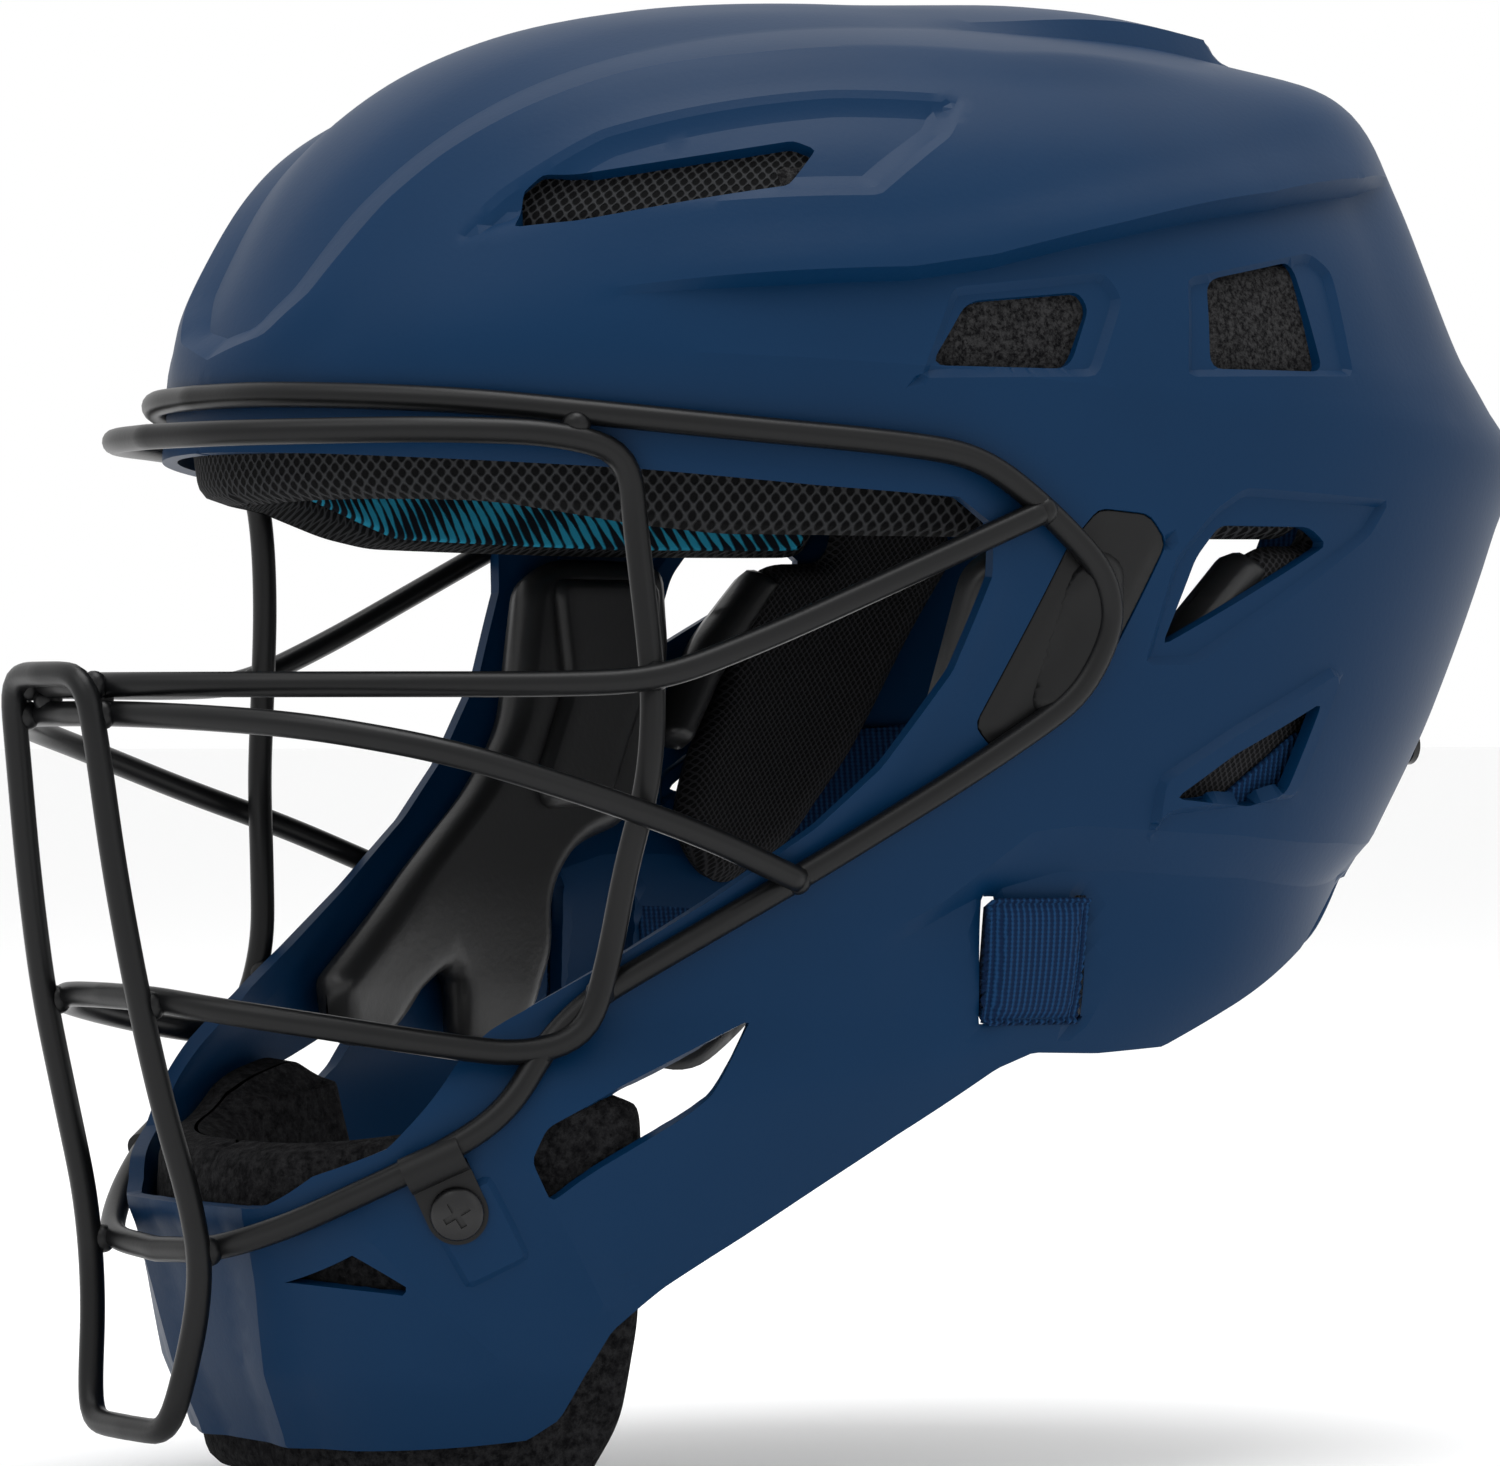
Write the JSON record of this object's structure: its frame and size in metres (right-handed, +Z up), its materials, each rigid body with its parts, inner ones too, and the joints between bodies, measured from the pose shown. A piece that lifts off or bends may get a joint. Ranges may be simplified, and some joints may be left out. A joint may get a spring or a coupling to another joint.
{
  "type": "catchers mask",
  "caption": "Hockey-style baseball catcher's helmet: vented hard shell, welded wire cage, foam liner pads and a floating rear plate on elastic straps.",
  "frame": {"origin": "middle of the base of the bounding box, under the helmet, in its middle plane", "axes": "+Z up, the face looks along -Y, +X is the wearer's left"},
  "size_m": [0.2114, 0.3294, 0.2995],
  "materials": {
    "shell": "matt navy moulded ABS",
    "back_plate": "matt navy moulded plastic",
    "cage": "black vinyl-dipped steel wire",
    "black_plastic": "black moulded rubbery plastic",
    "fastener": "black oxide steel",
    "mesh_pad": "black spacer mesh over foam",
    "moulded_pad": "smooth black moulded foam",
    "brow_strip": "printed teal knit",
    "terry": "black terry over foam",
    "webbing": "navy woven elastic",
    "hook": "black hook-and-loop tape"
  },
  "bodies": {
    "helmet": {"shell": "shell", "cage_perimeter_wire": "cage", "cage_centre_loop": "cage", "cage_brow_loop": "cage", "cage_eye_bar": "cage", "cage_nose_bar": "cage", "temple_plate_left": "black_plastic", "temple_plate_right": "black_plastic", "temple_screws": "fastener", "chin_clip_left": "fastener", "chin_clip_right": "fastener", "chin_screws": "fastener", "chin_nuts": "fastener", "forehead_pad": "mesh_pad", "forehead_strip": "brow_strip", "crown_pad": "mesh_pad", "nape_pad": "mesh_pad", "hook_patches": "hook", "chin_pad": "terry", "crown_side_pad_left": "mesh_pad", "crown_side_pad_right": "mesh_pad", "upper_side_pad_left": "mesh_pad", "upper_side_pad_right": "mesh_pad", "ear_pad_left": "mesh_pad", "ear_pad_right": "mesh_pad", "cheek_strip_pad_left": "moulded_pad", "cheek_strip_pad_right": "moulded_pad", "jaw_pad_left": "moulded_pad", "jaw_pad_right": "moulded_pad", "side_strap_left": "webbing", "side_strap_right": "webbing", "rear_strap_left": "webbing", "rear_strap_right": "webbing", "dome_rivets": "fastener"},
    "floating_plate": {"back_plate": "back_plate", "back_pad": "mesh_pad", "plate_rivets": "fastener"}
  },
  "joints": [
    {"name": "back_plate_slide", "type": "slide", "parent": "helmet", "child": "floating_plate", "axis": [0, 1, 0], "range_m": [0, 0.02], "stiffness_N_per_m": 900, "deforming": ["side_strap_left", "side_strap_right", "rear_strap_left", "rear_strap_right"]}
  ]
}
